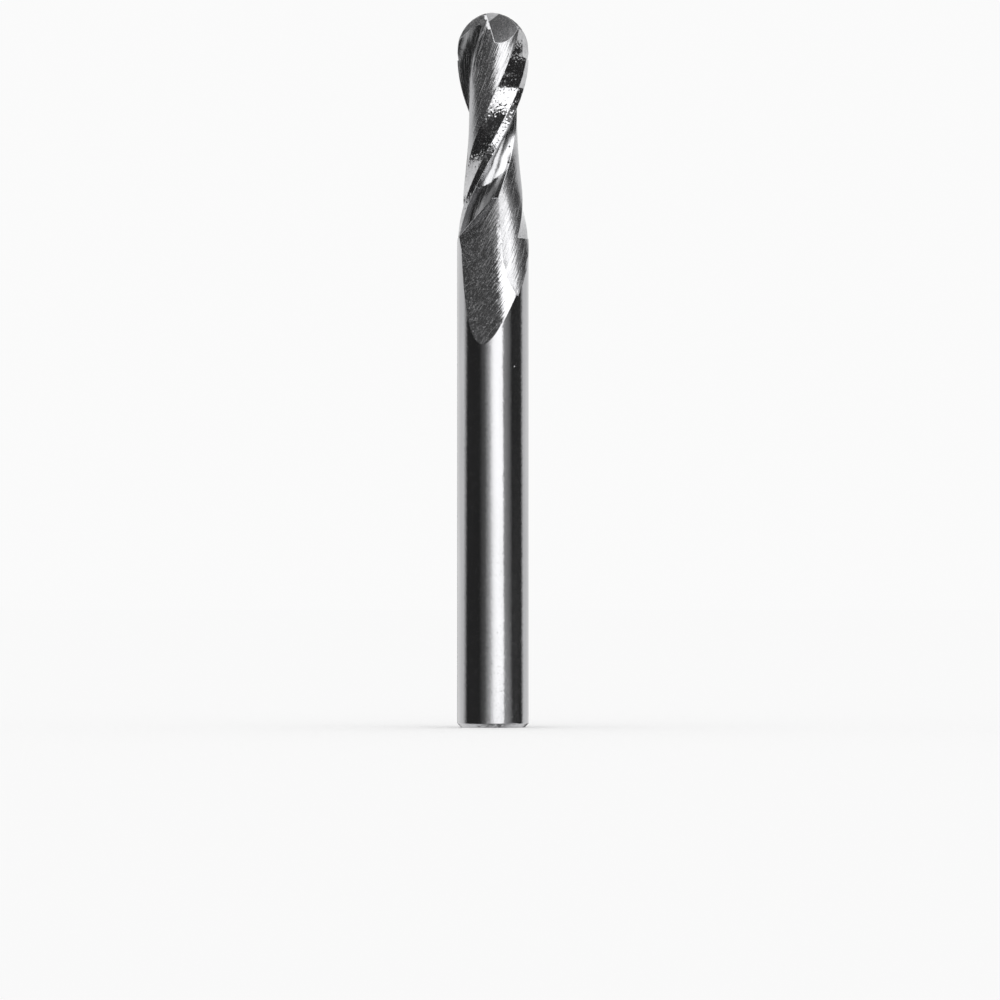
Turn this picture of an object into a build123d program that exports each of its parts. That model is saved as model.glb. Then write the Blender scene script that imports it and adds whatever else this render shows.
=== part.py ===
from build123d import *
from math import acos, cos, degrees, pi, radians, sin, sqrt, tan
import os

os.makedirs("parts", exist_ok=True)

# Driving dimensions, in millimetres and degrees.
# The bit stands on its shank end with the ball up. Angles about the axis are
# measured anticlockwise from +X, seen from the ball, and depths from the tip.
shank_diameter = 6.35
overall_length = 63.5
shank_end_chamfer = 0.35
tooth_count = 2
helix_angle = 29.2
edge_angle_at_equator = 8.7  # where one cutting edge leaves the ball

# Gullet in front of each edge, in a section square to the axis
rake_angle = 8.0
ridge_angle = 49.5  # from the edge to the ridge between gullet and heel wall
ridge_radius = 2.12
gullet_depth = 23.0

# The gullet ends below this depth on a slanting facet, placed from the centre of
# the ball, where its wheel is lifted out
gullet_end_depth = 16.69
gullet_end_point = (-1.223, -1.707, -15.514)
gullet_end_normal = (-0.504, -0.828, 0.246)

# Heel wall behind the ridge: an eccentric arc that bulges into the flute
heel_wall_radius = 2.863
heel_wall_offset = 0.743
heel_wall_direction = 228.6  # of the arc's centre, from the edge
heel_wall_span = (30, 178)

# Run-out of the heel wall: the print of a large wheel with a hollow rim, in a
# plane that nearly holds the axis. It takes over from the helical wall on a line.
wheel_centre_distance = 52.322
wheel_centre_angle = -46.12
wheel_centre_depth = 17.395
wheel_axis_angle = 43.28
wheel_axis_dip = 1.59
wheel_rim = ((-4.6, 56.08), (-3.865, 53.919), (-1.209, 45.831), (3.6, 51.863))
wheel_core = 44.0
wheel_print_arc = 40
wheel_print_limit = 18.8
heel_wall_depth = 26.0
contact_line = ((2.9, 26.6), (0.95, 23.2), (0.44, 15.2))  # x and depth of its points

# Flat relief lands behind each edge, ground from the tip to a square shoulder
primary_relief = 12.0
primary_land = 0.74
secondary_relief = 46.0
secondary_land = 2.6
relief_length = 20.16

# Ball end, placed from the centre of the ball. The relief of a tooth is a
# flatter ball through its edge, which is nearly a plane arc, with a steeper
# flank near the equator and gashes that clear the centre.
edge_arc_normal = (0.575, -0.494, 0.652)
edge_arc_offset = 1.57
ball_relief = 5.5
relief_below_equator = 0.3
flank_point = (2.513, -1.119, 0)
flank_normal = (0.914, -0.407, 0.1)
flank_end_point = (2.2, 0, -0.62)
flank_end_normal = (0.48, 0, 0.877)
clearance_point = (0.887, -2.031, 0.487)
clearance_normal = (0.035, -0.861, 0.507)
centre_clearance_point = (-0.355, -1.061, 2.22)
centre_clearance_normal = (-0.165, -0.725, 0.669)
clearance_side_point = (-0.2, 0, 1.5)
clearance_side_normal = (0.96, 0, 0.28)
rake_gash_point = (-2.39, -0.943, 1.2)
rake_gash_normal = (-0.416, -0.883, 0.219)
rake_gash_side_point = (-0.9, 0, 1.6)
rake_gash_side_normal = (-0.96, -0.1, 0.28)

# Derived sizes
radius = shank_diameter / 2
equator = overall_length - radius
ball_centre = Vector(0, 0, equator)
lead = pi * shank_diameter / tan(radians(helix_angle))
twist = 360 / lead
graze = 0.01  # keeps a cut's corner off the edge that it starts from
clear = 5.0  # radius of the cuts outside the blank
clear_top = overall_length + 1.5


def polar(distance, angle):
    """Point at a distance from the axis and an angle about it."""
    return Vector(distance * cos(radians(angle)), distance * sin(radians(angle)))


def edge_angle(level):
    """Angle of the first cutting edge at a level."""
    return edge_angle_at_equator + twist * (level - equator)


def section_plane(level):
    """Plane square to the axis, with its X through the first cutting edge."""
    return Plane.XY.offset(level).rotated((0, 0, edge_angle(level)))


def helix_from(level):
    """Path of the flutes from a level to above the tip."""
    return Helix(lead, clear_top - level, radius, center=(0, 0, level))


def edge_plane(level):
    """Plane through the first cutting edge and the axis, along the edge."""
    ahead = polar(1, edge_angle(level) + 90)
    normal = ahead * cos(radians(helix_angle)) - Vector(0, 0, sin(radians(helix_angle)))
    return Plane(polar(radius, edge_angle(level)) + Vector(0, 0, level), z_dir=normal)


def heel_wall(angle):
    """Point of the heel wall at an angle ahead of the edge."""
    turn = radians(angle - heel_wall_direction)
    reach = heel_wall_offset * cos(turn)
    reach += sqrt(heel_wall_radius**2 - (heel_wall_offset * sin(turn)) ** 2)
    return polar(reach, angle)


def ball_plane(point, normal):
    """Plane with its Z out of the bit, placed from the centre of the ball."""
    return Plane(ball_centre + Vector(*point), z_dir=Vector(*normal))


# Gullet: one arc from the edge, tangent to the rake, to the ridge
edge = Vector(radius, 0)
rake = Vector(1, 0).rotate(Axis.Z, rake_angle)
outer = edge + rake * (clear - radius)
ridge = polar(ridge_radius, ridge_angle)
ridge_outer = polar(clear, ridge_angle)
gullet_start = overall_length - gullet_depth
gullet_end = overall_length - gullet_end_depth
with BuildPart() as gullet_cut:
    with BuildSketch(section_plane(gullet_start)):
        with BuildLine():
            TangentArc(edge, ridge, tangent=-rake)
            Line(ridge, ridge_outer)
            RadiusArc(ridge_outer, outer, clear)
            Line(outer, edge)
        make_face()
    sweep(path=helix_from(gullet_start), is_frenet=True)
    with BuildPart(mode=Mode.SUBTRACT):
        with BuildSketch(Plane.XY.offset(gullet_end)):
            Circle(clear + 1)
        extrude(amount=gullet_start - gullet_end - clear)
        split(bisect_by=ball_plane(gullet_end_point, gullet_end_normal), keep=Keep.BOTTOM)

# Heel wall, swept along the flute down to the print of its wheel
heel_start = overall_length - heel_wall_depth
first_angle, last_angle = heel_wall_span
middle_angle = (first_angle + last_angle) / 2
takeover = [Vector(x, overall_length - depth) for x, depth in contact_line]
first_outer = polar(clear, first_angle)
last_outer = polar(clear, last_angle)
with BuildPart() as heel_cut:
    with BuildSketch(section_plane(heel_start)):
        with BuildLine():
            ThreePointArc(heel_wall(first_angle), heel_wall(middle_angle), heel_wall(last_angle))
            Line(heel_wall(last_angle), last_outer)
            ThreePointArc(last_outer, polar(clear, middle_angle), first_outer)
            Line(first_outer, heel_wall(first_angle))
        make_face()
    sweep(path=helix_from(heel_start), is_frenet=True)
    with BuildSketch(Plane.XZ):
        with BuildLine():
            Polyline(
                *takeover,
                (-clear, takeover[-1].Y),
                (-clear, takeover[0].Y),
                close=True,
            )
        make_face()
    extrude(amount=clear, both=True, mode=Mode.SUBTRACT)

# Run-out print of the wheel of the heel wall
wheel_axis = Vector(1, 0, 0).rotate(Axis.Y, wheel_axis_dip).rotate(Axis.Z, wheel_axis_angle)
wheel_centre = polar(wheel_centre_distance, wheel_centre_angle)
wheel_centre += Vector(0, 0, overall_length - wheel_centre_depth)
inward = wheel_axis.cross(Vector(0, 0, -1)).normalized()
print_start = inward.rotate(Axis((0, 0, 0), wheel_axis), -wheel_print_arc / 2)
print_plane = Plane(wheel_centre, x_dir=wheel_axis, z_dir=wheel_axis.cross(print_start))
rim_start, rim_end = wheel_rim[0], wheel_rim[-1]
with BuildPart() as runout_cut:
    with BuildSketch(print_plane):
        with BuildLine():
            Bezier(*wheel_rim)
            Polyline(rim_end, (rim_end[0], wheel_core), (rim_start[0], wheel_core), rim_start)
        make_face()
    revolve(axis=Axis(wheel_centre, wheel_axis), revolution_arc=wheel_print_arc)
    split(bisect_by=edge_plane(overall_length - wheel_print_limit), keep=Keep.TOP)

# Relief lands: a primary and a steeper secondary flat behind the edge
relief_start = overall_length - relief_length
primary = Vector(0, -1).rotate(Axis.Z, -primary_relief)
secondary = Vector(0, -1).rotate(Axis.Z, -secondary_relief)
land_edge = Vector(radius - graze, 0)
land_front = land_edge - primary
land_back = land_edge + primary * primary_land
land_heel = land_back + secondary * secondary_land
with BuildPart() as relief_cut:
    with BuildSketch(section_plane(relief_start)):
        with BuildLine():
            Polyline(
                land_front,
                land_back,
                land_heel,
                land_heel + Vector(3.0, -2.0),
                (clear + 1, -1.5),
                land_front + Vector(2, 0),
                close=True,
            )
        make_face()
    sweep(path=helix_from(relief_start), is_frenet=True)

# Ball relief: what a flatter ball through the edge arc leaves outside
arc_axis = Vector(*edge_arc_normal).normalized()
arc_radius = sqrt(radius**2 - edge_arc_offset**2)
half_angle = radians(degrees(acos(edge_arc_offset / radius)) - ball_relief)
relief_radius = arc_radius / sin(half_angle)
relief_offset = edge_arc_offset - relief_radius * cos(half_angle) - graze
with BuildPart() as ball_relief_cut:
    with BuildSketch(Plane.XY.offset(equator - relief_below_equator)):
        Circle(clear)
    extrude(amount=clear)
    with Locations(ball_centre + arc_axis * relief_offset):
        Sphere(relief_radius, mode=Mode.SUBTRACT)

# Steep flank of the ball's relief, down to the lands of the flute
with BuildPart() as flank_cut:
    with BuildSketch(ball_plane(flank_point, flank_normal)):
        Circle(clear)
    extrude(amount=clear)
    split(bisect_by=ball_plane(flank_end_point, flank_end_normal), keep=Keep.TOP)

# Clearance gash: two facets from the middle of the ball to the heel
with BuildPart() as clearance_gash:
    for point, normal in (
        (clearance_point, clearance_normal),
        (centre_clearance_point, centre_clearance_normal),
    ):
        with BuildSketch(ball_plane(point, normal)):
            Circle(clear)
        extrude(amount=clear)
    split(bisect_by=ball_plane(clearance_side_point, clearance_side_normal), keep=Keep.TOP)

# Rake gash: brings the rake face of the ball up to the centre
with BuildPart() as rake_gash:
    with BuildSketch(ball_plane(rake_gash_point, rake_gash_normal)):
        Circle(clear)
    extrude(amount=clear)
    split(bisect_by=ball_plane(rake_gash_side_point, rake_gash_side_normal), keep=Keep.TOP)

# Blank of shank and ball, less the cuts of both teeth
with BuildPart() as router_bit:
    with BuildSketch(Plane.XZ):
        with BuildLine():
            Polyline(
                (0, overall_length),
                (0, 0),
                (radius - shank_end_chamfer, 0),
                (radius, shank_end_chamfer),
                (radius, equator),
            )
            CenterArc((0, equator), radius, 0, 90)
        make_face()
    revolve(axis=Axis.Z)
    with PolarLocations(0, tooth_count):
        for cut in (
            gullet_cut,
            heel_cut,
            runout_cut,
            relief_cut,
            ball_relief_cut,
            flank_cut,
            clearance_gash,
            rake_gash,
        ):
            add(cut.part, mode=Mode.SUBTRACT)

router_bit.part.label = "router_bit"
export_step(router_bit.part, "parts/router_bit.step")
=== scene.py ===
"""Ball nose router bit of ground carbide, standing on the end of its shank in a pale studio.

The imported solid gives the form. The visible piece is its surface, merged into one mesh, with
a finish of its own on each ground face: the bright shank, the flutes with their grind lines,
the lands, the run-outs, and the gashes and facets of the ball. Bright metal shows little but
what it mirrors, so the studio is a ring of bright and dark cards round the bit.

Lengths are in millimetres where a name or a docstring says so, and otherwise in metres.
Levels count from the end of the shank. Azimuths count from the camera's side, + to its right.
"""

import logging
import math
from dataclasses import dataclass, field
from enum import Enum

import bpy
import numpy as np
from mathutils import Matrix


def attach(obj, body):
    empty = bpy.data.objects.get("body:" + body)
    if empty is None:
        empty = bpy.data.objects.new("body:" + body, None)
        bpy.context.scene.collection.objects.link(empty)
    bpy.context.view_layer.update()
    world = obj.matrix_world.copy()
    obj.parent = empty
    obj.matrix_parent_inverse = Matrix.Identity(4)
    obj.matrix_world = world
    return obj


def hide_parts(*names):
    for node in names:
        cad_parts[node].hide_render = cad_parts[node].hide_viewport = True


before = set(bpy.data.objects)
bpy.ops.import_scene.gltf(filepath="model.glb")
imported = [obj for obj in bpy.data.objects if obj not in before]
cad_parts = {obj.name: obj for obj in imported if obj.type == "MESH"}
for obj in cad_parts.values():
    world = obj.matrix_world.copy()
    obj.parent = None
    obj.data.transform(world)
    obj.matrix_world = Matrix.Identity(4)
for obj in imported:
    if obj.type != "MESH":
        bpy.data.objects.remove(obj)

LOG = logging.getLogger("router_bit")
MM = 0.001
FLUTE_TWIST = 0.176  # radians per millimetre, that of a 29.2 degree helix on the shank's diameter
CAD_NODE = "router_bit"
ZERO = (0.0, 0.0, 0.0)
WHITE = (1.0, 1.0, 1.0, 1.0)
Point = tuple[float, float, float]
Socket = bpy.types.NodeSocket
Outputs = bpy.types.bpy_prop_collection
Feed = Socket | float | tuple[float, ...]


class Wiring:
    """Adds nodes to one node tree and joins them."""

    def __init__(self, tree: bpy.types.NodeTree) -> None:
        """Keeps the node tree of a material, a world or a group, and empties it."""
        self.tree = tree
        tree.nodes.clear()

    def node(self, kind: str, feeds: dict | None = None, **settings: object) -> bpy.types.Node:
        """Adds a node.

        Args:
            kind: The name of the node's type.
            feeds: A value or an output socket for inputs, by name or by number.
            settings: Properties of the node.

        Returns:
            The new node.
        """
        node = self.tree.nodes.new(kind)
        for name, value in settings.items():
            setattr(node, name, value)
        for name, value in (feeds or {}).items():
            self.feed(node.inputs[name], value)
        return node

    def feed(self, socket: Socket, value: Feed) -> None:
        """Links an output to an input, or writes a value on it.

        Args:
            socket: The input.
            value: An output socket, a number or a tuple of numbers.
        """
        if isinstance(value, Socket):
            self.tree.links.new(value, socket)
        else:
            socket.default_value = value

    def math(self, operation: str, *values: Feed) -> Socket:
        """Adds a Math node with its inputs in order."""
        return self.node("ShaderNodeMath", dict(enumerate(values)), operation=operation).outputs[0]

    def vector(self, operation: str, *values: Feed) -> Socket:
        """Adds a Vector Math node that makes a vector, with its inputs in order."""
        feeds = dict(enumerate(values))
        return self.node("ShaderNodeVectorMath", feeds, operation=operation).outputs["Vector"]

    def measure(self, operation: str, *values: Feed) -> Socket:
        """Adds a Vector Math node that makes a number, with its inputs in order."""
        feeds = dict(enumerate(values))
        return self.node("ShaderNodeVectorMath", feeds, operation=operation).outputs["Value"]

    def scaled(self, vector: Feed, factor: Feed) -> Socket:
        """Multiplies a vector by a number."""
        feeds = {"Vector": vector, "Scale": factor}
        return self.node("ShaderNodeVectorMath", feeds, operation="SCALE").outputs["Vector"]

    def turned(self, vector: Feed, angle: Feed) -> Socket:
        """Turns a vector about Z by an angle in radians."""
        feeds = {"Vector": vector, "Angle": angle}
        return self.node("ShaderNodeVectorRotate", feeds, rotation_type="Z_AXIS").outputs[0]

    def parts(self, vector: Feed) -> Outputs:
        """Takes a vector apart into the outputs "X", "Y" and "Z"."""
        return self.node("ShaderNodeSeparateXYZ", {0: vector}).outputs

    def joined(self, *values: Feed) -> Socket:
        """Joins three numbers to a vector or a colour."""
        return self.node("ShaderNodeCombineXYZ", dict(enumerate(values))).outputs[0]

    def mixed(self, share: Feed, first: Feed, second: Feed) -> Socket:
        """Mixes two numbers, which are inputs 2 and 3 of the node, by the second one's share."""
        return self.node("ShaderNodeMix", {0: share, 2: first, 3: second}).outputs[0]

    def ramp(
        self, value: Feed, low: Feed, high: Feed, start: Feed = 0.0, end: Feed = 1.0
    ) -> Socket:
        """Carries a value smoothly from one level to another.

        Args:
            value: The number that is read.
            low: Where the first level ends.
            high: Where the second level begins.
            start: The first level.
            end: The second level.

        Returns:
            The output socket.
        """
        feeds = {"Value": value, "From Min": low, "From Max": high, "To Min": start, "To Max": end}
        node = self.node("ShaderNodeMapRange", feeds, interpolation_type="SMOOTHSTEP")
        return node.outputs[0]


class PatternGroup:
    """A shader node group with named inputs and outputs."""

    def __init__(self, name: str, inputs: dict[str, Feed], outputs: dict[str, Feed]) -> None:
        """Makes the group's tree and its sockets.

        Args:
            name: The group's name.
            inputs: The default of each input; a tuple makes a vector input.
            outputs: The same for each output.
        """
        self.tree = bpy.data.node_groups.new(name, "ShaderNodeTree")
        self.wiring = Wiring(self.tree)
        for side, sockets in (("INPUT", inputs), ("OUTPUT", outputs)):
            for label, default in sockets.items():
                kind = "NodeSocketVector" if isinstance(default, tuple) else "NodeSocketFloat"
                socket = self.tree.interface.new_socket(label, in_out=side, socket_type=kind)
                socket.default_value = default
        self.inputs = self.wiring.node("NodeGroupInput").outputs
        self.outputs = self.wiring.node("NodeGroupOutput").inputs

    def place(self, wiring: Wiring, feeds: dict[str, Feed]) -> Outputs:
        """Puts the group into a material, feeds its named inputs and gives its outputs."""
        return wiring.node("ShaderNodeGroup", feeds, node_tree=self.tree).outputs


class GrindLines(PatternGroup):
    """Fine lines that a wheel leaves along the flute.

    The place is turned back about the axis by the twist of its level, so that a helix becomes
    a straight line, and is then squeezed lengthwise before it reads the noise. The height is
    that of the single lines. The tone changes from one bundle of lines to the next.
    """

    LINE_DETAIL = 2.0
    BUNDLE_DETAIL = 1.0
    BUNDLE_SCALE = (0.23, 0.23, 0.4)
    BUNDLE_SHIFT = (7.3, 2.1, 5.2)

    def __init__(self) -> None:
        """Builds the group once."""
        lines = {"Place": ZERO, "Twist": FLUTE_TWIST, "Width": 0.05, "Length": 2.0}
        super().__init__("grind_lines", lines, {"Height": 0.5, "Tone": 0.5})
        wiring, inputs = self.wiring, self.inputs
        place = wiring.scaled(inputs["Place"], 1 / MM)
        twist = wiring.math("MULTIPLY", wiring.parts(place)["Z"], inputs["Twist"])
        straight = wiring.turned(place, wiring.math("MULTIPLY", twist, -1.0))
        across = wiring.math("DIVIDE", 1.0, inputs["Width"])
        along = wiring.math("DIVIDE", 1.0, inputs["Length"])
        squeezed = wiring.vector("MULTIPLY", straight, wiring.joined(across, across, along))
        bundled = wiring.vector("MULTIPLY_ADD", squeezed, self.BUNDLE_SCALE, self.BUNDLE_SHIFT)
        for output, vector, detail in (
            ("Height", squeezed, self.LINE_DETAIL),
            ("Tone", bundled, self.BUNDLE_DETAIL),
        ):
            feeds = {"Vector": vector, "Scale": 1.0, "Detail": detail}
            noise = wiring.node("ShaderNodeTexNoise", feeds).outputs[0]
            wiring.feed(self.outputs[output], noise)


class Grain(PatternGroup):
    """Grains of the carbide, with no direction.

    The height is smooth. The normal is that of small flat chips, each tilted its own way, and
    a few of them far more than the rest. The mask marks a pit in the middle of each chip,
    deeper in some than in others.
    """

    DETAIL = 2.5
    MEAN_COLOUR = (0.5, 0.5, 0.5)
    LEAN_GAIN = 4.0
    PIT_FLOOR = 0.2
    PIT_RIM = 0.5

    def __init__(self) -> None:
        """Builds the group once."""
        inputs = {"Place": ZERO, "Size": 0.1, "Normal": ZERO, "Tilt": 0.0}
        super().__init__("carbide_grain", inputs, {"Height": 0.5, "Normal": ZERO, "Pits": 0.0})
        wiring, inputs = self.wiring, self.inputs
        spread = {"Vector": inputs["Place"], "Scale": wiring.math("DIVIDE", 1 / MM, inputs["Size"])}
        noise = wiring.node("ShaderNodeTexNoise", {**spread, "Detail": self.DETAIL}).outputs[0]
        chips = wiring.node("ShaderNodeTexVoronoi", spread).outputs
        lean = wiring.vector("SUBTRACT", chips["Color"], self.MEAN_COLOUR)
        steep = wiring.measure("LENGTH", lean)
        steep = wiring.math("MULTIPLY", wiring.math("MULTIPLY", steep, steep), self.LEAN_GAIN)
        tilt = wiring.scaled(lean, wiring.math("MULTIPLY", steep, inputs["Tilt"]))
        tilted = wiring.vector("NORMALIZE", wiring.vector("ADD", inputs["Normal"], tilt))
        depth = wiring.parts(chips["Color"])["X"]
        pits = wiring.ramp(chips["Distance"], self.PIT_FLOOR, self.PIT_RIM, depth, 0.0)
        wiring.feed(self.outputs["Height"], noise)
        wiring.feed(self.outputs["Normal"], tilted)
        wiring.feed(self.outputs["Pits"], pits)


class PaintedEdgeGlint(PatternGroup):
    """Narrow strips of painted glint along the edges between ground faces, where light would catch
    them, with the normal of the rounded edge.

    A strip is where the rounded normal stands off the face's own. It is whole where the cosine
    of the angle between the two is low, and gone where that is near 1.
    """

    SAMPLES = 6
    WHOLE_BELOW = 0.9
    GONE_ABOVE = 0.99

    def __init__(self) -> None:
        """Builds the group once."""
        super().__init__("painted_edge_glint", {"Radius": 0.0001}, {"Normal": ZERO, "Mask": 0.0})
        wiring, inputs = self.wiring, self.inputs
        faced = wiring.node("ShaderNodeNewGeometry").outputs["Normal"]
        radius = {"Radius": inputs["Radius"]}
        rounded = wiring.node("ShaderNodeBevel", radius, samples=self.SAMPLES).outputs[0]
        cosine = wiring.measure("DOT_PRODUCT", faced, rounded)
        strip = wiring.ramp(cosine, self.WHOLE_BELOW, self.GONE_ABOVE, 1.0, 0.0)
        wiring.feed(self.outputs["Normal"], rounded)
        wiring.feed(self.outputs["Mask"], strip)


class WheelWear(PatternGroup):
    """How far the face that a worn wheel grinds stands off the drawn one.

    It turns the normal about the axis. Below a border that runs slantwise round the bit, where
    the wheel is lifted out, it also lowers the normal.
    """

    def __init__(self) -> None:
        """Builds the group once."""
        inputs = {
            "Place": ZERO,
            "Normal": ZERO,
            "Turn": 0.0,
            "Drop": 0.0,
            "Border": 0.0,
            "Slant": 0.0,
            "Fade": 0.0001,
        }
        super().__init__("wheel_wear", inputs, {"Normal": ZERO})
        wiring, inputs = self.wiring, self.inputs
        parts = wiring.parts(inputs["Place"])
        turned = wiring.turned(inputs["Normal"], inputs["Turn"])
        front = wiring.math("MULTIPLY", parts["Y"], -1.0)
        around = wiring.math("ARCTANGENT", wiring.math("DIVIDE", parts["X"], front))
        border = wiring.math("MULTIPLY_ADD", around, inputs["Slant"], inputs["Border"])
        above = wiring.math("DIVIDE", wiring.math("SUBTRACT", parts["Z"], border), inputs["Fade"])
        below = wiring.ramp(above, -1.0, 1.0, 1.0, 0.0)
        drop = wiring.math("MULTIPLY", wiring.math("MULTIPLY", below, inputs["Drop"]), -1.0)
        lowered = wiring.vector("ADD", turned, wiring.joined(0.0, 0.0, drop))
        wiring.feed(self.outputs["Normal"], wiring.vector("NORMALIZE", lowered))


class Spot(PatternGroup):
    """A small round mark at one place, with a soft rim."""

    RIM_START = 0.6

    def __init__(self) -> None:
        """Builds the group once."""
        inputs = {"Place": ZERO, "Centre": ZERO, "Radius": 0.0001}
        super().__init__("spot", inputs, {"Mask": 0.0})
        wiring, inputs = self.wiring, self.inputs
        away = wiring.measure("DISTANCE", inputs["Place"], inputs["Centre"])
        share = wiring.math("DIVIDE", away, inputs["Radius"])
        wiring.feed(self.outputs["Mask"], wiring.ramp(share, self.RIM_START, 1.0, 1.0, 0.0))


@dataclass(frozen=True)
class Patterns:
    """The pattern groups, made once and shared by all finishes.

    Attributes:
        lines: The grind lines.
        grain: The grain of the carbide.
        edges: The rounded edges and their painted glint.
        wear: The faces of a worn wheel.
        spot: A spot.
    """

    lines: GrindLines = field(default_factory=GrindLines)
    grain: Grain = field(default_factory=Grain)
    edges: PaintedEdgeGlint = field(default_factory=PaintedEdgeGlint)
    wear: WheelWear = field(default_factory=WheelWear)
    spot: Spot = field(default_factory=Spot)


@dataclass(frozen=True)
class Mark:
    """A small dark spot, a light speck, or a spot of painted glint at one place.

    Attributes:
        centre: Its centre in millimetres.
        radius: Its radius in millimetres.
        tone: Its colour.
        scatter: Share of the light that it scatters.
    """

    centre: Point
    radius: float
    tone: float
    scatter: float

    def mask(self, wiring: Wiring, spot: Spot, place: Socket) -> Socket:
        """Finds where the mark is.

        Args:
            wiring: The material's wiring.
            spot: The group of a spot.
            place: The place on the bit, in metres.

        Returns:
            The mask of the mark.
        """
        centre = tuple(value * MM for value in self.centre)
        feeds = {"Place": place, "Centre": centre, "Radius": self.radius * MM}
        return spot.place(wiring, feeds)["Mask"]


# Two dark spots in the flute, a light speck on the shank, and a painted glint: five spots that
# paint the point at the tip white
SPOTS_AND_PAINTED_GLINT = (
    Mark((1.461, -1.194, 51.444), radius=0.12, tone=0.05, scatter=0.0),
    Mark((1.372, -1.51, 50.001), radius=0.12, tone=0.05, scatter=0.0),
    Mark((1.898, -2.541, 31.886), radius=0.08, tone=0.9, scatter=0.6),
    # Painted glint at the tip: near-white spots that scatter instead of mirroring
    Mark((-0.666, -1.326, 63.056), radius=0.16, tone=0.95, scatter=0.95),
    Mark((-0.6, -1.5, 62.85), radius=0.24, tone=0.95, scatter=0.95),
    Mark((-0.52, -1.877, 62.556), radius=0.26, tone=0.95, scatter=0.95),
    Mark((-0.5, -2.058, 62.2), radius=0.26, tone=0.95, scatter=0.95),
    Mark((-0.35, -2.1, 61.9), radius=0.2, tone=0.95, scatter=0.95),
)


@dataclass(frozen=True)
class Turn:
    """A change of the angle by which a worn wheel turns a face about the axis.

    Attributes:
        low: Level in millimetres where the change begins.
        high: Level in millimetres where it ends.
        angle: The angle from there up, in radians.
    """

    low: float
    high: float
    angle: float


# How the patterns act on every finish
BUNDLE_RANGE = (0.3, 0.7)  # of the tone of the lines, over which the colour changes
BUNDLE_TONES = (0.9, 1.04)  # shares of a finish's tone at the two ends of that range
TORN_RANGE = (0.5, 0.72)  # of the height of the lines, over which their bottoms tear
# Colour of the painted glint along the edges
EDGE_GLINT_TONE = 0.9
COLD_CAST = 1.02
QUARTER_TURN = 0.25  # lays the wide side of the gloss across the lines


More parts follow.
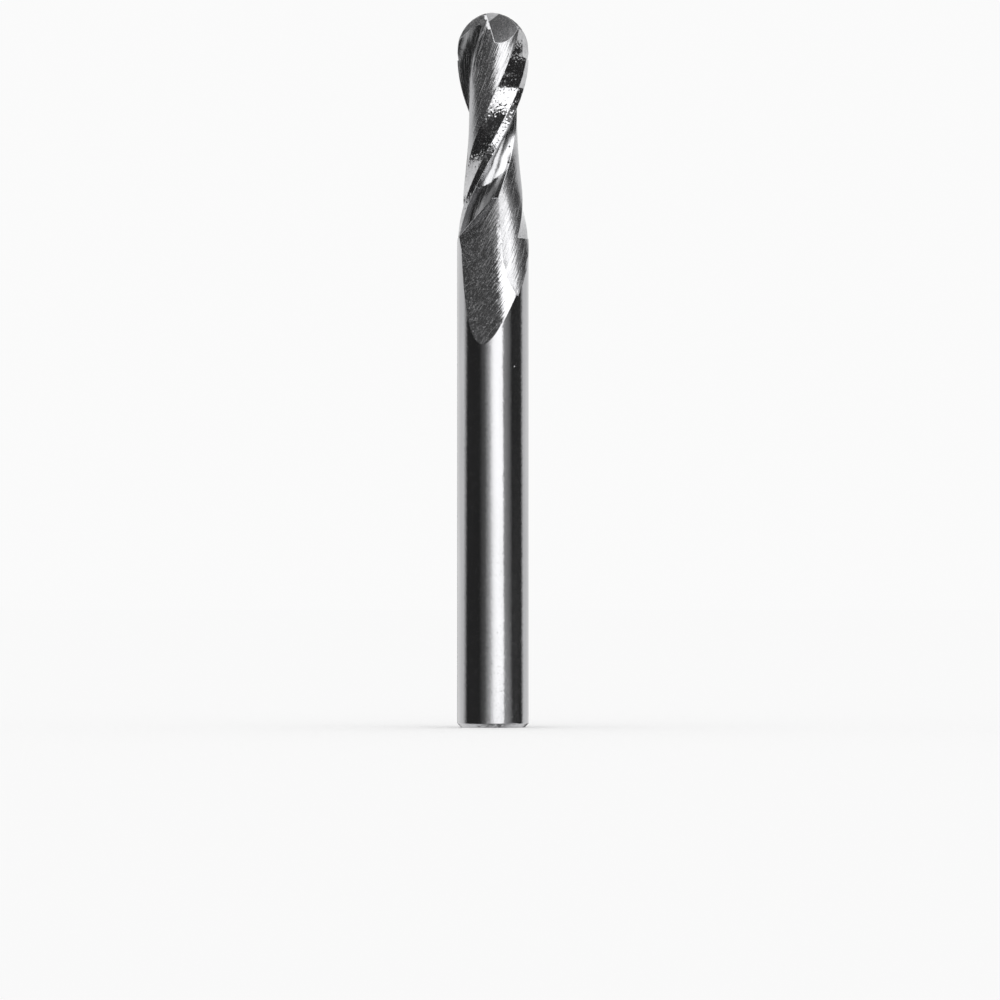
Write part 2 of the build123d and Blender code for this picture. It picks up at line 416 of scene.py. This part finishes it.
@dataclass(frozen=True)
class Finish:
    """One way in which the carbide is ground or polished.

    Attributes:
        name: The material's name.
        tone: Colour of the metal, the same in all three channels but for a cold cast.
        metallic: Share that mirrors; the rest scatters, as a roughly ground face does.
        roughness: Roughness where the surface is smoothest.
        roughness_range: What the tone of the lines adds to it.
        anisotropy: How much wider the gloss spreads across the lines than along them.
        twist: Turn of the lines about the axis, in radians per millimetre.
        line_width: Width of a line in millimetres.
        line_length: Length of a line in millimetres.
        line_depth: Depth of the lines in millimetres.
        turn: Angle by which the worn wheel turns the face about the axis, in radians.
        turns: Where that angle changes, from the lowest level up.
        drop: Slope of the face below the border where the wheel is lifted out.
        border: Level of that border in millimetres, at the front.
        slant: Rise of that border in millimetres per radian about the axis.
        fade: Height in millimetres, up and down from the border, over which the slope sets in.
        grain_size: Size of the grain in millimetres.
        grain_depth: Depth of the grain in millimetres.
        pits: Share that scatters in the pits of the grain.
        hatch: Share that scatters in the torn bottoms of the lines.
        chip_tilt: Slope by which the small chips of the surface are tilted.
        edge_radius: Radius of the rounded edges in millimetres, which also sets the width of their
            painted glint.
        edge_light: Share of the light that scatters from the edges, as a painted glint.
    """

    name: str
    tone: float = 0.55
    metallic: float = 1.0
    roughness: float = 0.15
    roughness_range: float = 0.08
    anisotropy: float = 0.0
    twist: float = FLUTE_TWIST
    line_width: float = 0.04
    line_length: float = 1.5
    line_depth: float = 0.001
    turn: float = 0.0
    turns: tuple[Turn, ...] = ()
    drop: float = 0.0
    border: float = 0.0
    slant: float = 0.0
    fade: float = 0.1
    grain_size: float = 0.1
    grain_depth: float = 0.001
    pits: float = 0.0
    hatch: float = 0.0
    chip_tilt: float = 0.0
    edge_radius: float = 0.1
    edge_light: float = 0.5

    def material(self, patterns: Patterns) -> bpy.types.Material:
        """Makes the material.

        Args:
            patterns: The shared pattern groups.

        Returns:
            The material.
        """
        material = bpy.data.materials.new(self.name)
        material.use_nodes = True
        wiring = Wiring(material.node_tree)
        place = wiring.node("ShaderNodeTexCoord").outputs["Object"]
        lines = patterns.lines.place(
            wiring,
            {
                "Place": place,
                "Twist": self.twist,
                "Width": self.line_width,
                "Length": self.line_length,
            },
        )
        edges = patterns.edges.place(wiring, {"Radius": self.edge_radius * MM})
        grain = patterns.grain.place(
            wiring,
            {
                "Place": place,
                "Size": self.grain_size,
                "Normal": edges["Normal"],
                "Tilt": self.chip_tilt,
            },
        )
        masks = [mark.mask(wiring, patterns.spot, place) for mark in SPOTS_AND_PAINTED_GLINT]
        tone = self.toned(wiring, lines, edges, masks)
        colour = wiring.joined(tone, tone, wiring.math("MULTIPLY", tone, COLD_CAST))
        rough = wiring.math("MULTIPLY_ADD", lines["Tone"], self.roughness_range, self.roughness)
        shader = wiring.node(
            "ShaderNodeBsdfPrincipled",
            {
                "Base Color": colour,
                "Metallic": self.mirroring(wiring, lines, grain, edges, masks),
                "Roughness": rough,
                "Anisotropic": self.anisotropy,
                "Anisotropic Rotation": QUARTER_TURN,
                "Normal": self.relief(wiring, patterns.wear, place, lines, grain),
            },
        )
        if self.anisotropy > 0:
            wiring.feed(shader.inputs["Tangent"], self.lengthwise(wiring, place))
        wiring.node("ShaderNodeOutputMaterial", {"Surface": shader.outputs[0]})
        return material

    def toned(
        self, wiring: Wiring, lines: Outputs, edges: Outputs, masks: list[Socket]
    ) -> Socket:
        """Colour of the metal with its bundles of lines, the painted glint along the edges, and the
        marks, of which those at the tip are a painted glint.

        Args:
            wiring: The material's wiring.
            lines: The outputs of the grind lines.
            edges: The outputs of the rounded edges and their painted glint.
            masks: The masks of the marks.

        Returns:
            The colour as one number.
        """
        dark, light = (share * self.tone for share in BUNDLE_TONES)
        tone = wiring.ramp(lines["Tone"], *BUNDLE_RANGE, dark, light)
        # Painted glint: the colour goes pale along the edges
        tone = wiring.ramp(edges["Mask"], 0.0, 1.0, tone, EDGE_GLINT_TONE)
        for mark, mask in zip(SPOTS_AND_PAINTED_GLINT, masks):
            tone = wiring.ramp(mask, 0.0, 1.0, tone, mark.tone)
        return tone

    def mirroring(
        self, wiring: Wiring, lines: Outputs, grain: Outputs, edges: Outputs, masks: list[Socket]
    ) -> Socket:
        """Share of the light that is mirrored, less what the painted glint of the edges, pits, torn
        lines and marks take; the marks at the tip are a painted glint.

        Args:
            wiring: The material's wiring.
            lines: The outputs of the grind lines.
            grain: The outputs of the grain.
            edges: The outputs of the rounded edges and their painted glint.
            masks: The masks of the marks.

        Returns:
            The share.
        """
        # Painted glint: the edges scatter instead of mirroring
        metallic = wiring.math("MULTIPLY", edges["Mask"], -self.edge_light)
        metallic = wiring.math("ADD", metallic, self.metallic)
        metallic = wiring.math("MULTIPLY_ADD", grain["Pits"], -self.pits, metallic)
        torn = wiring.ramp(lines["Height"], *TORN_RANGE)
        metallic = wiring.math("MULTIPLY_ADD", torn, -self.hatch, metallic)
        for mark, mask in zip(SPOTS_AND_PAINTED_GLINT, masks):
            metallic = wiring.math("MULTIPLY_ADD", mask, -mark.scatter, metallic)
        return metallic

    def relief(
        self, wiring: Wiring, wear: WheelWear, place: Socket, lines: Outputs, grain: Outputs
    ) -> Socket:
        """Normal of the face as its wheel leaves it, with lines and grain in relief.

        Args:
            wiring: The material's wiring.
            wear: The group of the worn wheel.
            place: The place on the bit, in metres.
            lines: The outputs of the grind lines.
            grain: The outputs of the grain.

        Returns:
            The normal.
        """
        level = wiring.parts(place)["Z"]
        turn = self.turn
        for change in self.turns:
            turn = wiring.ramp(level, change.low * MM, change.high * MM, turn, change.angle)
        ground = wear.place(
            wiring,
            {
                "Place": place,
                "Normal": grain["Normal"],
                "Turn": turn,
                "Drop": self.drop,
                "Border": self.border * MM,
                "Slant": self.slant * MM,
                "Fade": self.fade * MM,
            },
        )["Normal"]
        height = wiring.math("MULTIPLY", lines["Height"], self.line_depth * MM)
        height = wiring.math("MULTIPLY_ADD", grain["Height"], self.grain_depth * MM, height)
        feeds = {"Height": height, "Distance": 1.0, "Strength": 1.0, "Normal": ground}
        return wiring.node("ShaderNodeBump", feeds).outputs[0]

    def lengthwise(self, wiring: Wiring, place: Socket) -> Socket:
        """Direction of the lines: up the axis, with the turn about it at that radius.

        Args:
            wiring: The material's wiring.
            place: The place on the bit, in metres.

        Returns:
            A vector output.
        """
        parts = wiring.parts(place)
        turn = self.twist / MM
        left = wiring.math("MULTIPLY", parts["Y"], -turn)
        right = wiring.math("MULTIPLY", parts["X"], turn)
        return wiring.joined(left, right, 1.0)


class Ground(Enum):
    """The finishes of the bit, in the order of its material slots."""

    SHANK = Finish(
        "polished_shank",
        roughness=0.07,
        twist=0.0,
        line_width=0.3,
        line_length=6.0,
        grain_size=0.12,
        grain_depth=0.003,
        pits=0.02,
        chip_tilt=0.025,
        edge_light=0.2,
    )
    HEEL = Finish(
        "ground_heel_wall",
        tone=0.48,
        metallic=0.93,
        roughness=0.1,
        roughness_range=0.04,
        anisotropy=0.7,
        line_width=0.12,
        line_length=1.6,
        line_depth=0.024,
        turn=-0.24,
        turns=(
            Turn(45.0, 49.0, angle=-0.07),
            Turn(50.0, 53.0, angle=0.11),
            Turn(57.2, 58.4, angle=0.03),
            Turn(58.6, 60.2, angle=-0.09),
        ),
        grain_size=0.17,
        grain_depth=0.004,
        pits=0.3,
        hatch=0.3,
        chip_tilt=0.04,
        edge_light=0.4,
    )
    GULLET = Finish(
        "ground_gullet",
        roughness=0.12,
        roughness_range=0.05,
        anisotropy=0.8,
        line_width=0.11,
        line_length=3.0,
        line_depth=0.01,
        turns=(Turn(49.5, 50.5, angle=-0.2), Turn(52.1, 53.1, angle=0.0)),
        drop=0.15,
        border=48.42,
        slant=1.5,
        grain_size=0.15,
        grain_depth=0.004,
        pits=0.08,
        hatch=0.26,
        chip_tilt=0.015,
        edge_light=0.35,
    )
    LAND = Finish(
        "ground_land",
        roughness=0.03,
        roughness_range=0.02,
        turns=(
            Turn(56.5, 56.7, angle=0.28),
            Turn(57.3, 57.7, angle=0.12),
            Turn(59.6, 60.0, angle=0.0),
        ),
        grain_size=0.12,
        grain_depth=0.003,
        pits=0.08,
        chip_tilt=0.19,
    )
    RUN_OUT = Finish(
        "ground_run_out",
        metallic=0.96,
        roughness=0.05,
        roughness_range=0.02,
        anisotropy=0.4,
        twist=0.25,
        line_width=0.12,
        line_length=1.3,
        line_depth=0.014,
        turn=-0.09,
        grain_size=0.17,
        grain_depth=0.002,
        pits=0.24,
        hatch=0.2,
        chip_tilt=0.03,
        edge_light=0.35,
    )
    FACET = Finish(
        "ground_facet",
        metallic=0.94,
        roughness=0.13,
        grain_size=0.17,
        grain_depth=0.008,
        pits=0.3,
        chip_tilt=0.07,
    )
    GASH = Finish(
        "ground_gash",
        metallic=0.94,
        roughness=0.13,
        drop=0.1,
        border=61.1,
        slant=1.6,
        fade=1.2,
        grain_size=0.15,
        grain_depth=0.006,
        pits=0.25,
        chip_tilt=0.015,
    )
    # Pale, half-scattering finish of the ridges and the centre facet: a painted highlight for the
    # light lines along them
    RIDGE_PAINTED_HIGHLIGHT = Finish(
        "ridge_painted_highlight",
        tone=0.85,
        metallic=0.6,
        roughness=0.2,
        grain_size=0.12,
        grain_depth=0.006,
        pits=0.2,
        edge_light=0.2,
    )


@dataclass(frozen=True)
class Face:
    """A ground face of the first tooth, known by a point on it.

    Attributes:
        name: What a grinder would call it.
        point: A point on the face, in millimetres.
        finish: How it is ground.
    """

    name: str
    point: Point
    finish: Ground


@dataclass
class RouterBit:
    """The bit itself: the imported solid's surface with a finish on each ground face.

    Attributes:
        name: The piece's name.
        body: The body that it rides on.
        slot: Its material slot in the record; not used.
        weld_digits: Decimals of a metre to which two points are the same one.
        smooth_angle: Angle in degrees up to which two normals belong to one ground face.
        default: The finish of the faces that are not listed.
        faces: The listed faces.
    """

    name: str = "ground_carbide_bit"
    body: str = "root"
    slot: str = "carbide"
    weld_digits: int = 7
    smooth_angle: float = 2.0
    default: Ground = Ground.FACET
    faces: tuple[Face, ...] = (
        Face("shank", (0.22, -3.17, 23.19), Ground.SHANK),
        Face("shank end", (-0.25, -0.72, 0.0), Ground.FACET),
        Face("heel wall", (2.22, -0.41, 49.53), Ground.HEEL),
        Face("gullet", (1.37, -1.21, 53.59), Ground.GULLET),
        Face("run-out", (-0.9, -2.19, 39.71), Ground.RUN_OUT),
        Face("secondary land", (-0.95, -2.46, 52.29), Ground.LAND),
        Face("primary land", (0.2, -3.11, 51.35), Ground.LAND),
        Face("ball relief", (-1.95, -0.09, 62.65), Ground.LAND),
        Face("flank", (2.96, -0.13, 60.24), Ground.LAND),
        Face("gullet end", (-1.4, -1.6, 44.9), Ground.RUN_OUT),
        Face("run-out heel", (2.97, -1.09, 40.41), Ground.RUN_OUT),
        Face("ridge", (2.12, -0.01, 54.53), Ground.RIDGE_PAINTED_HIGHLIGHT),
        Face("lower ridge", (0.7, -2.11, 44.15), Ground.RIDGE_PAINTED_HIGHLIGHT),
        Face("centre facet", (-0.16, -0.59, 63.1), Ground.RIDGE_PAINTED_HIGHLIGHT),
        Face("clearance gash", (1.06, -1.32, 62.01), Ground.GASH),
    )

    def build(self) -> bpy.types.Object:
        """Makes the piece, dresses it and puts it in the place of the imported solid.

        Returns:
            The visible piece.
        """
        mesh = self.mesh()
        self.dress(mesh)
        piece = bpy.data.objects.new(self.name, mesh)
        bpy.context.scene.collection.objects.link(piece)
        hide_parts(CAD_NODE)
        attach(piece, self.body)
        return piece

    def mesh(self) -> bpy.types.Mesh:
        """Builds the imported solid's surface, whose triangles know the slot of their finish.

        Returns:
            The mesh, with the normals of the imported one.
        """
        points, triangles, normals = self.merged(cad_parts[CAD_NODE].data)
        mesh = bpy.data.meshes.new(self.name)
        mesh.from_pydata(points.tolist(), [], triangles.tolist())
        mesh.polygons.foreach_set("use_smooth", np.ones(len(triangles), bool))
        patch = self.patches(triangles, normals)
        mesh.polygons.foreach_set("material_index", self.finishes(points, triangles, patch))
        mesh.normals_split_custom_set(normals.reshape(-1, 3).tolist())
        return mesh

    def dress(self, mesh: bpy.types.Mesh) -> None:
        """Gives the mesh a material for each finish, in the order of the slots.

        Args:
            mesh: The mesh.
        """
        patterns = Patterns()
        for finish in Ground:
            mesh.materials.append(finish.value.material(patterns))

    def merged(self, source: bpy.types.Mesh) -> tuple[np.ndarray, np.ndarray, np.ndarray]:
        """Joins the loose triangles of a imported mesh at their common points.

        Args:
            source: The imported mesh, whose triangles already face outwards.

        Returns:
            The points, the three point numbers of each triangle and the normals of its corners.
        """
        loose = np.empty(3 * len(source.vertices))
        source.vertices.foreach_get("co", loose)
        corners = np.empty(len(source.loops), int)
        source.loops.foreach_get("vertex_index", corners)
        normals = np.empty(3 * len(source.loops))
        source.corner_normals.foreach_get("vector", normals)
        rounded = loose.reshape(-1, 3).round(self.weld_digits)
        points, number = np.unique(rounded, axis=0, return_inverse=True)
        return points, number.ravel()[corners].reshape(-1, 3), normals.reshape(-1, 3, 3)

    def patches(self, triangles: np.ndarray, normals: np.ndarray) -> np.ndarray:
        """Numbers the smooth patches, which are the ground faces.

        Two triangles are on one face where their normals agree at both ends of a common edge.
        Each triangle takes the lowest number among its neighbours until none changes.

        Args:
            triangles: The point numbers of each triangle.
            normals: The normals of each triangle's corners.

        Returns:
            The number of each triangle's patch.
        """
        ends = np.stack([triangles, np.roll(triangles, -1, 1)], 2).reshape(-1, 2)
        sides = np.stack([normals, np.roll(normals, -1, 1)], 2).reshape(-1, 2, 3)
        swap = ends[:, 0] > ends[:, 1]
        ends[swap] = ends[swap, ::-1]
        sides[swap] = sides[swap, ::-1]
        order = np.lexsort((ends[:, 1], ends[:, 0]))
        owner = np.repeat(np.arange(len(triangles)), 3)[order]
        ends, sides = ends[order], sides[order]
        agree = (sides[1:] * sides[:-1]).sum(2).min(1) > math.cos(math.radians(self.smooth_angle))
        pair = np.flatnonzero(agree & (ends[1:] == ends[:-1]).all(1))
        first, second = owner[pair], owner[pair + 1]
        number = np.arange(len(triangles))
        while True:
            lowest = np.minimum(number[first], number[second])
            passed = number.copy()
            np.minimum.at(passed, first, lowest)
            np.minimum.at(passed, second, lowest)
            passed = passed[passed]
            if (passed == number).all():
                return np.unique(number, return_inverse=True)[1].ravel()
            number = passed

    def finishes(self, points: np.ndarray, triangles: np.ndarray, patch: np.ndarray) -> np.ndarray:
        """Gives each triangle the slot of its face's finish.

        The second tooth is the first, turned by half a turn, so each listed face is looked for
        at both places.

        Args:
            points: The points.
            triangles: The point numbers of each triangle.
            patch: The number of each triangle's patch.

        Returns:
            The material slot of each triangle.
        """
        slots = list(Ground)
        centres = points[triangles].mean(1) / MM
        found = np.full(len(triangles), slots.index(self.default), np.int32)
        for face in self.faces:
            for side in (1, -1):
                target = np.array(face.point) * (side, side, 1)
                nearest = np.argmin(((centres - target) ** 2).sum(1))
                found[patch == patch[nearest]] = slots.index(face.finish)
        return found


@dataclass
class Viewpoint:
    """The camera, as far away and as high as the photograph's.

    Attributes:
        picture: Width of the picture in pixels.
        pixel: What a pixel covers at the bit's axis, in millimetres.
        distance: From the camera to the axis, in the same pixels.
        eye_row: Row of the picture that is level with the camera.
        axis_column: Column of the picture where the axis stands.
        eye_height: Level of the camera in millimetres.
        sensor: Width of the camera's sensor in millimetres.
        clip: Nearest and farthest distance that the camera sees, in metres.
    """

    picture: float = 1000.0
    pixel: float = 0.0887
    distance: float = 5680.0
    eye_row: float = 600.0
    axis_column: float = 493.0
    eye_height: float = 11.27
    sensor: float = 36.0
    clip: tuple[float, float] = (0.01, 20.0)

    def build(self) -> bpy.types.Object:
        """Makes the camera and gives it to the scene.

        Returns:
            The camera.
        """
        lens = bpy.data.cameras.new("viewpoint")
        lens.sensor_width = self.sensor
        lens.lens = self.sensor * self.distance / self.picture
        lens.clip_start, lens.clip_end = self.clip
        camera = bpy.data.objects.new("viewpoint", lens)
        camera.location = (0, -self.distance * self.pixel * MM, self.eye_height * MM)
        tilt = math.atan2(self.eye_row - self.picture / 2, self.distance)
        turn = math.atan2(self.axis_column - self.picture / 2, self.distance)
        camera.rotation_euler = (math.pi / 2 + tilt, 0, turn)
        bpy.context.scene.collection.objects.link(camera)
        bpy.context.scene.camera = camera
        return camera


@dataclass(frozen=True)
class Panel:
    """A bright or dark card of the studio, as seen from the bit.

    Attributes:
        level: Its brightness.
        azimuth: Its two sides in degrees.
        elevation: Its lower and upper border in degrees.
        soft: Width of its blurred border in degrees.
    """

    level: float
    azimuth: tuple[float, float]
    elevation: tuple[float, float]
    soft: float = 6.0

    def before(self, wiring: Wiring, azimuth: Socket, elevation: Socket, level: Socket) -> Socket:
        """Lays the panel over what is behind it.

        Args:
            wiring: The wiring of the world.
            azimuth: The azimuth in degrees.
            elevation: The elevation in degrees.
            level: The brightness behind the panel.

        Returns:
            The brightness with the panel.
        """
        mask: Feed = 1.0
        blur = self.soft / 2
        for angle, (low, high) in ((azimuth, self.azimuth), (elevation, self.elevation)):
            inside = wiring.ramp(angle, low - blur, low + blur)
            mask = wiring.math("MULTIPLY", mask, inside)
            outside = wiring.ramp(angle, high - blur, high + blur, 1.0, 0.0)
            mask = wiring.math("MULTIPLY", mask, outside)
        return wiring.mixed(mask, level, self.level)


@dataclass
class Studio:
    """Pale floor and soft light all round, with the cards that the bright metal mirrors.

    Attributes:
        floor_tone: Colour of the floor.
        floor_size: Side of the floor in metres.
        plain_level: Level of the plain light, which shows the floor and all behind it alike.
        ring: Azimuths in degrees, and the brightness at eye level there.
        panels: Cards laid over the ring.
    """

    floor_tone: float = 0.99
    floor_size: float = 12.0
    plain_level: float = 0.97
    ring: tuple[tuple[float, float], ...] = (
        (-180, 0.95),
        (-112, 0.85),
        (-94, 0.03),
        (-45, 0.03),
        (-25, 0.15),
        (-10, 0.6),
        (4, 1.6),
        (20, 1.8),
        (34, 1.75),
        (38, 0.4),
        (60, 0.15),
        (66, 0.03),
        (104, 0.04),
        (118, 0.8),
        (180, 0.95),
    )
    panels: tuple[Panel, ...] = (
        Panel(0.03, azimuth=(-110, 112), elevation=(-100, -5)),
        Panel(1.7, azimuth=(36, 92), elevation=(-25, -6)),
        Panel(0.3, azimuth=(-35, 5), elevation=(-30, -8), soft=8.0),
        Panel(0.5, azimuth=(-15, 20), elevation=(-47, -30), soft=8.0),
        Panel(0.05, azimuth=(-60, -13), elevation=(9, 60)),
        Panel(0.25, azimuth=(-62, -51), elevation=(24, 33), soft=4.0),
        Panel(2.3, azimuth=(-9, 30), elevation=(9, 48), soft=8.0),
        Panel(0.15, azimuth=(150, 180), elevation=(13, 70), soft=8.0),
        Panel(0.1, azimuth=(158, 180), elevation=(-70, -6)),
        Panel(0.12, azimuth=(-180, -166), elevation=(-70, 70)),
        Panel(0.12, azimuth=(-125, 125), elevation=(50, 100), soft=10.0),
    )

    def build(self) -> bpy.types.Object:
        """Makes the light and the floor, which is the studio's only piece."""
        self.light()
        return self.floor()

    def floor(self) -> bpy.types.Object:
        """Makes the floor, a square under the bit.

        Returns:
            The floor.
        """
        half = self.floor_size / 2
        mesh = bpy.data.meshes.new("floor")
        corners = [(-half, -half, 0), (half, -half, 0), (half, half, 0), (-half, half, 0)]
        mesh.from_pydata(corners, [], [(0, 1, 2, 3)])
        material = bpy.data.materials.new("pale_floor")
        material.use_nodes = True
        wiring = Wiring(material.node_tree)
        tone = (self.floor_tone, self.floor_tone, self.floor_tone, 1.0)
        shader = wiring.node("ShaderNodeBsdfDiffuse", {"Color": tone})
        wiring.node("ShaderNodeOutputMaterial", {"Surface": shader.outputs[0]})
        mesh.materials.append(material)
        floor = bpy.data.objects.new("floor", mesh)
        floor.visible_glossy = False
        bpy.context.scene.collection.objects.link(floor)
        return floor

    def light(self) -> None:
        """Makes the light: even for the floor, and the ring of cards for what mirrors it."""
        world = bpy.data.worlds.new("studio")
        world.use_nodes = True
        bpy.context.scene.world = world
        world.cycles.sampling_method = "NONE"  # only mirrored rays see bright and dark parts
        wiring = Wiring(world.node_tree)
        parts = wiring.parts(wiring.node("ShaderNodeTexCoord").outputs["Generated"])
        ahead = wiring.math("MULTIPLY", parts["Y"], -1.0)
        azimuth = wiring.math("DEGREES", wiring.math("ARCTAN2", parts["X"], ahead))
        elevation = wiring.math("DEGREES", wiring.math("ARCSINE", parts["Z"]))
        level = self.around(wiring, azimuth)
        for panel in self.panels:
            level = panel.before(wiring, azimuth, elevation, level)
        mirrored = wiring.node("ShaderNodeLightPath").outputs["Is Glossy Ray"]
        strength = wiring.mixed(mirrored, self.plain_level * self.floor_tone, level)
        background = wiring.node("ShaderNodeBackground", {"Color": WHITE, "Strength": strength})
        wiring.node("ShaderNodeOutputWorld", {"Surface": background.outputs[0]})

    def around(self, wiring: Wiring, azimuth: Socket) -> Socket:
        """Reads the ring's brightness at an azimuth.

        Args:
            wiring: The wiring of the world.
            azimuth: The azimuth in degrees.

        Returns:
            The brightness.
        """
        first, last = self.ring[0][0], self.ring[-1][0]
        whole = {"Value": azimuth, "From Min": first, "From Max": last}
        place = wiring.node("ShaderNodeMapRange", whole).outputs[0]
        ramp = wiring.node("ShaderNodeValToRGB", {0: place})
        brightest = max(level for _, level in self.ring)
        stops = ramp.color_ramp.elements
        for number, (angle, level) in enumerate(self.ring):
            position = (angle - first) / (last - first)
            stop = stops[number] if number < len(stops) else stops.new(position)
            stop.position = position
            stop.color = (level / brightest,) * 3 + (1.0,)
        return wiring.math("MULTIPLY", ramp.outputs[0], brightest)


def main() -> None:
    """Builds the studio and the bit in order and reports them."""
    logging.basicConfig(level=logging.INFO, format="%(name)s %(message)s")
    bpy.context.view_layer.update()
    bpy.context.scene.view_settings.view_transform = "Standard"
    camera = Viewpoint().build()
    LOG.info("%s: a lens of %.1f mm", camera.name, camera.data.lens)
    for maker in (Studio(), RouterBit()):
        piece = maker.build()
        faces, finishes = len(piece.data.polygons), len(piece.data.materials)
        LOG.info("%s: %d faces in %d finishes", piece.name, faces, finishes)


if __name__ == "__main__":
    main()
